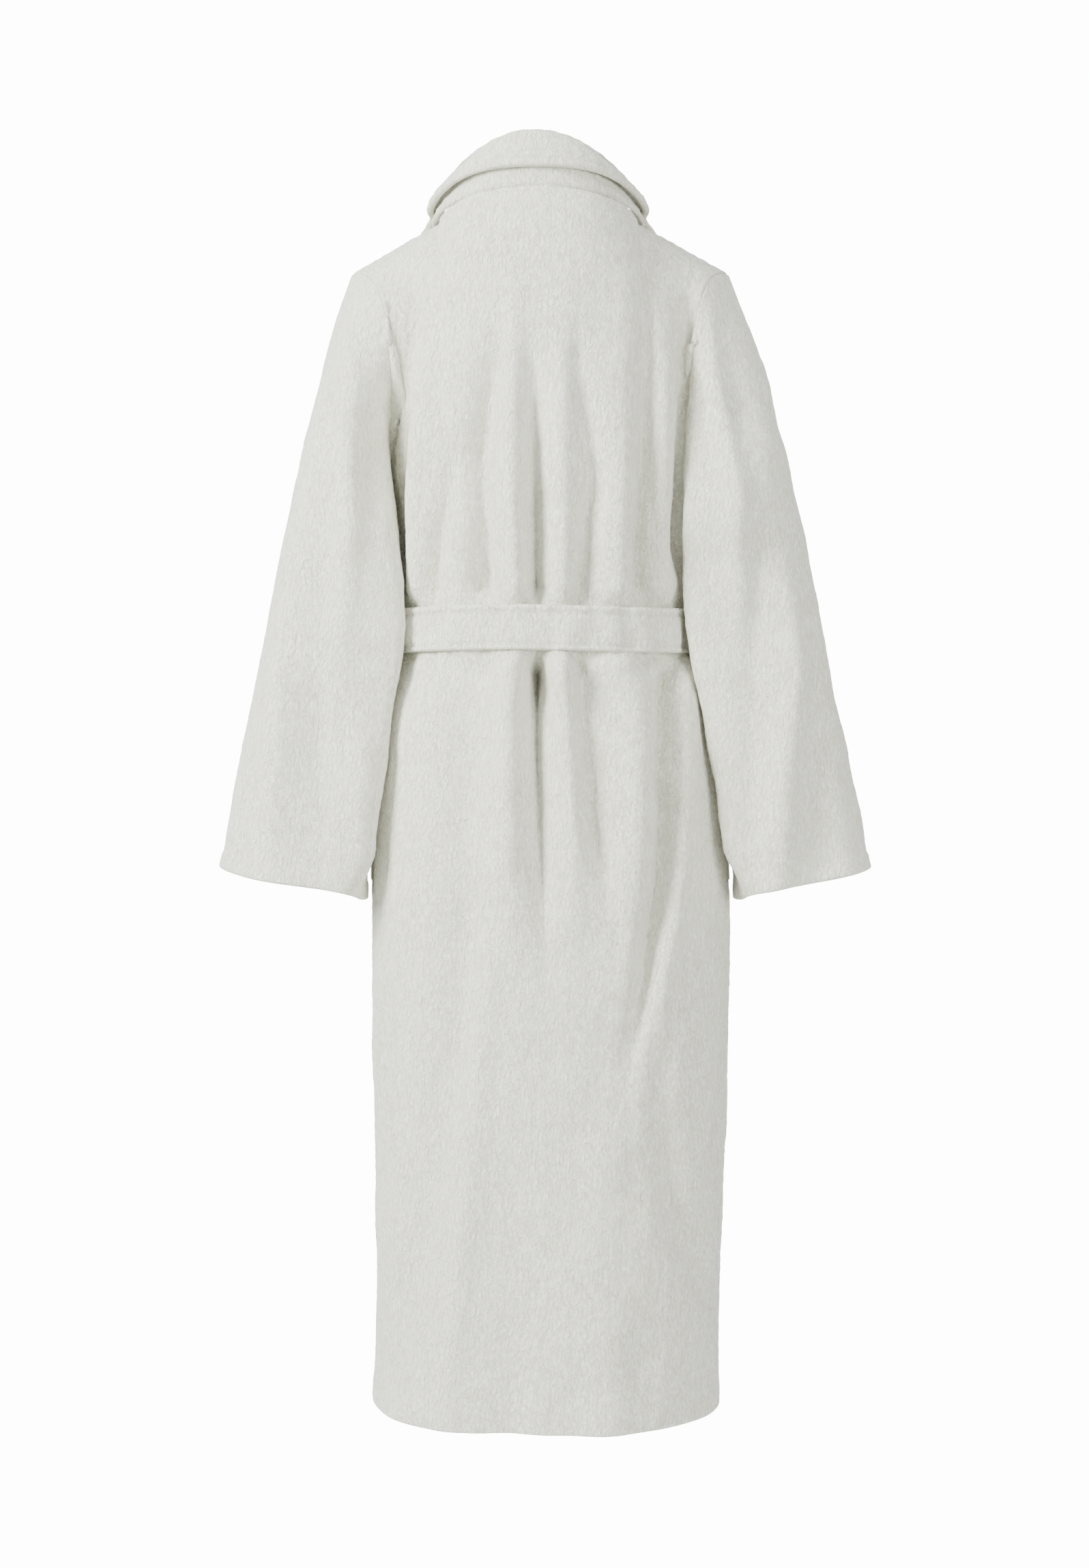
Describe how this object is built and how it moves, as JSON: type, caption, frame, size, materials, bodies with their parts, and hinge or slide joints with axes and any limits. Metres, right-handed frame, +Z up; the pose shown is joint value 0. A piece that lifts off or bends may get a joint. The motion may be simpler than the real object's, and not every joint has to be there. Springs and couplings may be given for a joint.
{
  "type": "bathrobe",
  "caption": "Long plush bathrobe with shawl collar, straight sleeves, patch pockets and a belt tied at the front, shaped as on a form.",
  "frame": {"origin": "where a hanger carries the robe: midway between the shoulders, on the shoulder line, level with the points where shoulders meet neck", "axes": "+Z up the standing robe, -Y out of the closed fronts, +X to the wearer's left"},
  "size_m": [0.652, 0.2794, 1.2646],
  "materials": {
    "plush": "short curled polyester pile, matt, off-white",
    "cotton_tape": "fine twill tape, matt",
    "satin_label": "woven satin, slight sheen, blank"
  },
  "bodies": {
    "robe": {"back_panel": "plush", "front_panel_left": "plush", "front_panel_right": "plush", "shawl_collar": "plush", "belt_band": "plush", "belt_knot": "plush", "belt_loop_left": "plush", "belt_loop_right": "plush", "pocket_left": "plush", "pocket_right": "plush", "neck_tape": "cotton_tape", "neck_label": "satin_label", "care_label": "satin_label"},
    "sleeve_left": {"sleeve_left": "plush"},
    "sleeve_right": {"sleeve_right": "plush"},
    "belt_tail_left": {"belt_tail_left": "plush"},
    "belt_tail_right": {"belt_tail_right": "plush"},
    "hanging_loop": {"hanging_loop": "cotton_tape"}
  },
  "joints": [
    {"name": "sleeve_left_raise", "type": "hinge", "parent": "robe", "child": "sleeve_left", "pos_m": [0.1885, 0, -0.0425], "axis": [0, -1, 0], "range_deg": [0, 70]},
    {"name": "sleeve_right_raise", "type": "hinge", "parent": "robe", "child": "sleeve_right", "pos_m": [-0.1885, 0, -0.0425], "axis": [0, 1, 0], "range_deg": [0, 70]},
    {"name": "belt_tail_left_swing", "type": "hinge", "parent": "robe", "child": "belt_tail_left", "pos_m": [0, -0.1362, -0.4315], "axis": [-1, 0, 0], "range_deg": [0, 70]},
    {"name": "belt_tail_right_swing", "type": "hinge", "parent": "robe", "child": "belt_tail_right", "pos_m": [0, -0.1362, -0.4315], "axis": [-1, 0, 0], "range_deg": [0, 70]},
    {"name": "hanging_loop_swing", "type": "hinge", "parent": "robe", "child": "hanging_loop", "pos_m": [0, 0.0804, 0.0176], "axis": [-1, 0, 0], "range_deg": [0, 150]}
  ]
}
